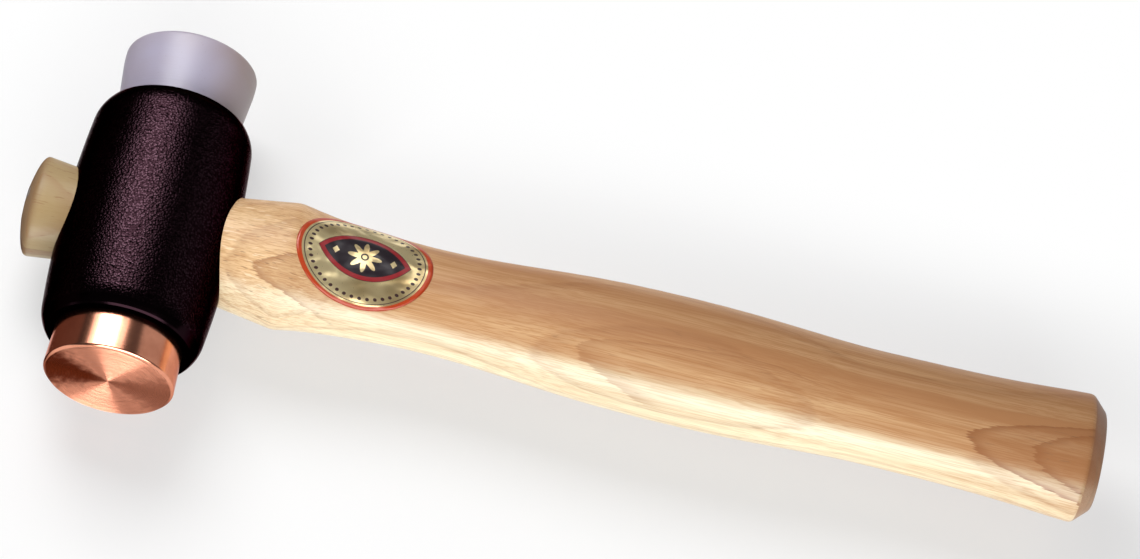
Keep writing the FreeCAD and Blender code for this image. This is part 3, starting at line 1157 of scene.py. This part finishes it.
@dataclass
class Handle:
    """The ash handle and the two wedges in its stub."""

    shoulder_run: float = 16.2 * MM
    shoulder_round: float = 1.0 * MM
    butt_chamfer: float = 4.8 * MM
    butt_round: float = 0.9 * MM
    stub_round: float = 4.0 * MM
    stub_flat_share: float = 0.35
    stub_rings: int = 9
    seam: float = 0.06 * MM
    pitch: float = 1.8 * MM
    segments: int = 144
    sharp: float = math.radians(32)
    wood_wedge: Wedge = Wedge(34.0 * MM, 45.0 * MM, 3.6 * MM, 0.8 * MM, upright=False)
    steel_wedge: Wedge = Wedge(22.0 * MM, 16.0 * MM, 3.0 * MM, 0.6 * MM, upright=True)
    steel: WedgeSteel = WedgeSteel()
    wood: Ash = Ash()
    wedge_wood: Ash = Ash(
        pale=(0.40, 0.25, 0.13),
        tan=(0.32, 0.18, 0.085),
        brown=(0.20, 0.10, 0.045),
        dull=(0.30, 0.19, 0.10),
        end_grain=(0.16, 0.09, 0.045),
        ring=0.9 * MM,
    )
    axis: Vector = field(init=False)
    back: float = field(init=False)
    front: float = field(init=False)
    crest: float = field(init=False)

    def build(self) -> List[bpy.types.Object]:
        """Shape the handle, saw its slot, fit the wedges and dress them all.

        Returns:
            The handle and its two wedges.
        """
        low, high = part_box("handle")
        barrel_low, barrel_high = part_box("head_casting")
        self.axis = Vector(((barrel_low.x + barrel_high.x) / 2, (low.y + high.y) / 2, barrel_high.z / 2))
        self.back, self.front = low.x, high.x
        self.crest = self.axis.x + barrel_high.z / 2 + self.shoulder_run
        whole, envelope = self.shaped("ash_handle"), self.shaped("envelope")
        entry = self.on_axis(self.back)
        wood_slot, wood_wedge = (self.wood_wedge.blank(entry, seam) for seam in (0.0, self.seam))
        steel_slot, steel_wedge = (self.steel_wedge.blank(entry, seam) for seam in (0.0, self.seam))
        wood_wedge = worked(worked(wood_wedge, steel_slot, Joining.CUT), envelope, Joining.SHARED)
        steel_wedge = worked(steel_wedge, envelope, Joining.SHARED)
        whole_slot = worked(wood_slot, steel_slot, Joining.JOINED)
        handle = worked(whole, whole_slot, Joining.CUT)
        for tool in (whole_slot, steel_slot, envelope):
            bpy.data.objects.remove(tool)
        ash = self.wood.make("ash_handle", self.axis, self.front)
        wedge_ash = self.wedge_wood.make("wood_wedge_fitted", self.axis, self.front)
        pieces = (
            (handle, "ash_handle", "handle", "ash_wood", ash),
            (wood_wedge, "wood_wedge_fitted", "wood_wedge", "wedge_wood", wedge_ash),
            (steel_wedge, "steel_wedge_fitted", "steel_wedge", "wedge_steel", self.steel.make("wedge_steel")),
        )
        for made, name, node, slot, material in pieces:
            made.name = name
            made.data.shade_smooth()
            made.data.set_sharp_from_angle(angle=self.sharp)
            dress(made, material)
            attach(made, "hammer")
            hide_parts(node)
        return [made for made, *_ in pieces]

    def on_axis(self, place: float) -> Vector:
        """The point of the handle's axis at a place along X."""
        return Vector((place, self.axis.y, self.axis.z))

    def surface(self) -> BVHTree:
        """The outside of the solid handle with its wedges in, for rays to meet.

        Returns:
            The faces of all three, as one tree.
        """
        corners: List[Vector] = []
        faces: List[Tuple[int, ...]] = []
        for name in ("handle", "wood_wedge", "steel_wedge"):
            data = bpy.data.objects[name].data
            start = len(corners)
            corners.extend(vertex.co.copy() for vertex in data.vertices)
            faces.extend(tuple(start + v for v in polygon.vertices) for polygon in data.polygons)
        return BVHTree.FromPolygons(corners, faces)

    def stations(self) -> List[Station]:
        """Where the rings of the handle lie.

        Returns:
            Each ring's place along X, and the share of the solid's section that it takes.
        """
        places: List[Station] = []
        for step in range(self.stub_rings):
            depth_share = (step / self.stub_rings) ** 1.6
            section_share = 1 - (1 - self.stub_flat_share) * (1 - depth_share) ** 2.5
            places.append((self.back + depth_share * self.stub_round, section_share))
        stops = (self.back + self.stub_round, self.crest, self.front - self.butt_chamfer, self.front)
        for start, end in zip(stops, stops[1:]):
            count = max(1, round((end - start) / self.pitch))
            places.extend((start + (end - start) * step / count, 1.0) for step in range(count))
        places.append((self.front, 1.0))
        return places

    def shaped(self, name: str) -> bpy.types.Object:
        """The whole handle before its slot is sawn, ring by ring on the solid's surface.

        Args:
            name: The object's name.

        Returns:
            The closed handle.
        """
        surface = self.surface()
        blank = Blank()
        mesh = blank.mesh
        ring = bmesh.ops.create_circle(mesh, cap_ends=False, segments=self.segments, radius=1.0)["verts"]
        edges = list(mesh.edges)
        for number, (place, share) in enumerate(self.stations()):
            if number:
                made = bmesh.ops.extrude_edge_only(mesh, edges=edges)["geom"]
                ring = [item for item in made if isinstance(item, bmesh.types.BMVert)]
                edges = [item for item in made if isinstance(item, bmesh.types.BMEdge)]
                edges = [edge for edge in edges if all(v in ring for v in edge.verts)]
            middle = self.on_axis(min(max(place, self.back + self.stub_round), self.front - 0.01 * MM))
            for vertex in ring:
                # The first ring still lies flat, round the frame's origin
                across = vertex.co.yz - self.axis.yz if number else vertex.co.xy
                way = Vector((0.0, *across)).normalized()
                hit = surface.ray_cast(middle + way * RAY_REACH, -way)[0]
                vertex.co = self.on_axis(place) + (hit - middle) * share
        bmesh.ops.holes_fill(mesh, edges=mesh.edges, sides=0)
        blank.tidy()
        butt_edges = (self.front - self.butt_chamfer, self.front)
        blank.rounded(blank.edges_at(self.crest, 0), self.shoulder_round, 3)
        blank.rounded([edge for place in butt_edges for edge in blank.edges_at(place, 0)], self.butt_round, 3)
        return blank.piece(name, self.sharp)


@dataclass
class FoilLabel:
    """The foil transfer, a thin sheet laid round the grip's broad side."""

    lift: float = 0.03 * MM
    thick: float = 0.12 * MM
    half_width: float = 15.9 * MM
    side_shift: float = 1.7 * MM
    rings: int = 26
    steps: int = 112
    angle_step: float = math.radians(3)
    finish: Foil = Foil()
    axis: Vector = field(init=False)
    grip: BVHTree = field(init=False)

    def build(self, handle: bpy.types.Object) -> List[bpy.types.Object]:
        """Lay the sheet on the grip and dress it.

        Args:
            handle: The finished handle.

        Returns:
            The label.
        """
        low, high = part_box("foil_label")
        middle = (low + high) / 2
        barrel_low, barrel_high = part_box("head_casting")
        self.axis = Vector((0.0, middle.y, (barrel_low.z + barrel_high.z) / 2))
        self.grip = BVHTree.FromObject(handle, bpy.context.evaluated_depsgraph_get())
        half_length = (high.x - low.x) / 2
        blank = Blank()
        mesh = blank.mesh
        spoke = [(step / self.rings, 0.0, 0.0) for step in range(self.rings + 1)]
        blank.spun(spoke, Vector(), (0.0, 0.0, 1.0), self.steps)
        bmesh.ops.remove_doubles(mesh, verts=mesh.verts, dist=1e-6)
        label_map = mesh.loops.layers.uv.new("label")
        for face in mesh.faces:
            for loop in face.loops:
                loop[label_map].uv = (0.5 + loop.vert.co.x / 2, 0.5 + loop.vert.co.y / 2)
        for vertex in mesh.verts:
            x = middle.x + vertex.co.x * half_length
            vertex.co = self.spot(x, self.side_shift + vertex.co.y * self.half_width)
        bmesh.ops.recalc_face_normals(mesh, faces=mesh.faces)
        if sum(face.normal.z for face in mesh.faces) < 0:
            bmesh.ops.reverse_faces(mesh, faces=mesh.faces)
        made = blank.piece("foil_transfer", math.radians(50))
        sheet = made.modifiers.new("sheet", "SOLIDIFY")
        sheet.thickness = self.thick
        sheet.offset = 1.0
        dress(made, self.finish.make(half_length, self.half_width))
        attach(made, "hammer")
        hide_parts("foil_label")
        return [made]

    def hit(self, x: float, angle: float) -> Vector:
        """Where the grip's surface lies, seen from its axis.

        Args:
            x: The place along the handle.
            angle: The angle from straight up towards +Y.

        Returns:
            The place, lifted off the wood by the gap of the transfer.
        """
        way = Vector((0.0, math.sin(angle), math.cos(angle)))
        start = Vector((x, self.axis.y, self.axis.z)) + way * RAY_REACH
        spot, normal, _, _ = self.grip.ray_cast(start, -way)
        return spot + normal * self.lift

    def spot(self, x: float, around: float) -> Vector:
        """The place at some length round the grip from its crest.

        Args:
            x: The place along the handle.
            around: The length round it, more than zero towards +Y.

        Returns:
            The place.
        """
        step = math.copysign(self.angle_step, around)
        here, left, angle = self.hit(x, 0.0), abs(around), 0.0
        while True:
            angle += step
            beyond = self.hit(x, angle)
            length = (beyond - here).length
            if length >= left:
                return self.hit(x, angle - step + step * left / length)
            here, left = beyond, left - length


@dataclass(frozen=True)
class Softbox:
    """A plain rectangular studio light. Its way leads from what it lights to the lamp."""

    name: str
    way: Triple
    distance: float
    width: float
    height: float
    radiance: float
    turn: float = 0.0

    def hang(self, aim: Vector) -> None:
        """Hang the light so that it faces a point.

        Args:
            aim: The point that it faces.
        """
        data = bpy.data.lights.new(self.name, "AREA")
        data.shape = "RECTANGLE"
        data.size = self.width
        data.size_y = self.height
        data.energy = self.radiance * math.pi * self.width * self.height
        lamp = bpy.data.objects.new(self.name, data)
        bpy.context.scene.collection.objects.link(lamp)
        way = Vector(self.way).normalized()
        facing = way.to_track_quat("Z", "Y").to_matrix().to_4x4()
        turned = Matrix.Rotation(math.radians(self.turn), 4, "Z")
        lamp.matrix_world = Matrix.Translation(aim + way * self.distance) @ (facing @ turned)
        lamp.visible_camera = False


HEAD_LAMPS = (
    Softbox("over_head", (-0.28, 0.51, 0.81), 0.60, width=0.60, height=0.38, radiance=2.0, turn=-41),
    Softbox("over_head_core", (-0.30, 0.50, 0.81), 0.59, width=0.34, height=0.38, radiance=6.0, turn=-41),
)
GRIP_LAMPS = (
    Softbox("front_low", (0.08, -0.94, 0.36), 0.98, width=1.10, height=0.58, radiance=6.2),
    Softbox("right_fill", (0.78, 0.50, 0.39), 1.30, width=0.90, height=1.04, radiance=0.45),
)


@dataclass
class Studio:
    """Table, lights and camera."""

    sensor: float = 36.0
    lens: float = 142.105
    camera_place: Triple = (-0.064765, -0.658730, 1.160459)
    camera_aim: Triple = (-0.001731, 0.014203, 0.025300)
    camera_roll: float = 18.193
    table_half: float = 8.0
    flag_top: float = 0.058
    flag_foot: float = 0.036
    flag_start: float = 0.06
    flag_width: float = 0.45
    flag_height: float = 0.078
    ambient: Colour = (0.08, 0.078, 0.08)

    def build(self, head: Vector, butt: Vector, reach: float) -> None:
        """Lay the table, hang the lights and set the camera.

        Args:
            head: The middle of the head.
            butt: The middle of the butt.
            reach: How far the head's faces stand out along Y.
        """
        blank = Blank()
        bmesh.ops.create_grid(blank.mesh, x_segments=8, y_segments=8, size=self.table_half)
        table = blank.piece("table_top")
        dress(table, Paper().make(head, butt, reach))
        for lamp in HEAD_LAMPS:
            lamp.hang(head)
        for lamp in GRIP_LAMPS:
            lamp.hang((head + butt) / 2)
        self.stand_flag(head)
        world = bpy.data.worlds.new("studio")
        world.use_nodes = True
        world.node_tree.nodes["Background"].inputs[0].default_value = (*self.ambient, 1.0)
        bpy.context.scene.world = world
        bpy.context.scene.view_settings.view_transform = "Standard"
        self.set_camera()

    def stand_flag(self, head: Vector) -> None:
        """Stand a dark card beside the head, which only polished surfaces show.

        Args:
            head: The middle of the head.
        """
        blank = Blank()
        bmesh.ops.create_grid(blank.mesh, x_segments=1, y_segments=1, size=1.0)
        for vertex in blank.mesh.verts:
            across = (vertex.co.x + 1) / 2 * self.flag_width - self.flag_start
            up = (vertex.co.y + 1) / 2
            away = self.flag_foot + (self.flag_top - self.flag_foot) * up
            vertex.co = Vector((head.x - away, head.y + across, up * self.flag_height))
        flag = blank.piece("black_flag")
        dress(flag, Felt().make())
        for ray in ("camera", "diffuse", "shadow", "transmission"):
            setattr(flag, f"visible_{ray}", False)

    def set_camera(self) -> None:
        """Set the camera at the photograph's angle, rolled about its line of sight."""
        data = bpy.data.cameras.new("camera")
        data.sensor_width = self.sensor
        data.lens = self.lens
        camera = bpy.data.objects.new("camera", data)
        bpy.context.scene.collection.objects.link(camera)
        place = Vector(self.camera_place)
        ahead = (Vector(self.camera_aim) - place).normalized()
        level = ahead.cross(Vector((0.0, 0.0, 1.0))).normalized()
        upright = level.cross(ahead)
        roll = math.radians(self.camera_roll)
        right = level * math.cos(roll) + upright * math.sin(roll)
        up = upright * math.cos(roll) - level * math.sin(roll)
        turned = Matrix((right, up, -ahead)).transposed()
        camera.matrix_world = Matrix.Translation(place) @ turned.to_4x4()
        bpy.context.scene.camera = camera


def report(pieces: Iterable[bpy.types.Object]) -> None:
    """Say what was made."""
    for made in pieces:
        LOG.info("%s: %d faces", made.name, len(made.data.polygons))


def corners(bounds: Tuple[Vector, Vector]) -> List[List[float]]:
    """The two corners of a box as plain numbers."""
    return [[round(value, 6) for value in corner] for corner in bounds]


def main() -> None:
    """Build the hammer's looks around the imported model."""
    logging.basicConfig(level=logging.INFO, format="%(name)s %(message)s")
    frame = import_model()
    head_low, head_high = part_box("head_casting")
    handle_low, handle_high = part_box("handle")
    report(CastHead().build(frame))
    report(CopperFace().build())
    report(NylonFace().build())
    wooden = Handle().build()
    report(wooden)
    report(FoilLabel().build(wooden[0]))
    copper_low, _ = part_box("copper_face")
    _, nylon_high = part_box("nylon_face")
    head = (head_low + head_high) / 2
    butt = Vector((handle_high.x, (handle_low.y + handle_high.y) / 2, (handle_low.z + handle_high.z) / 2))
    Studio().build(head, butt, (nylon_high.y - copper_low.y) / 2)


if __name__ == "__main__":
    main()
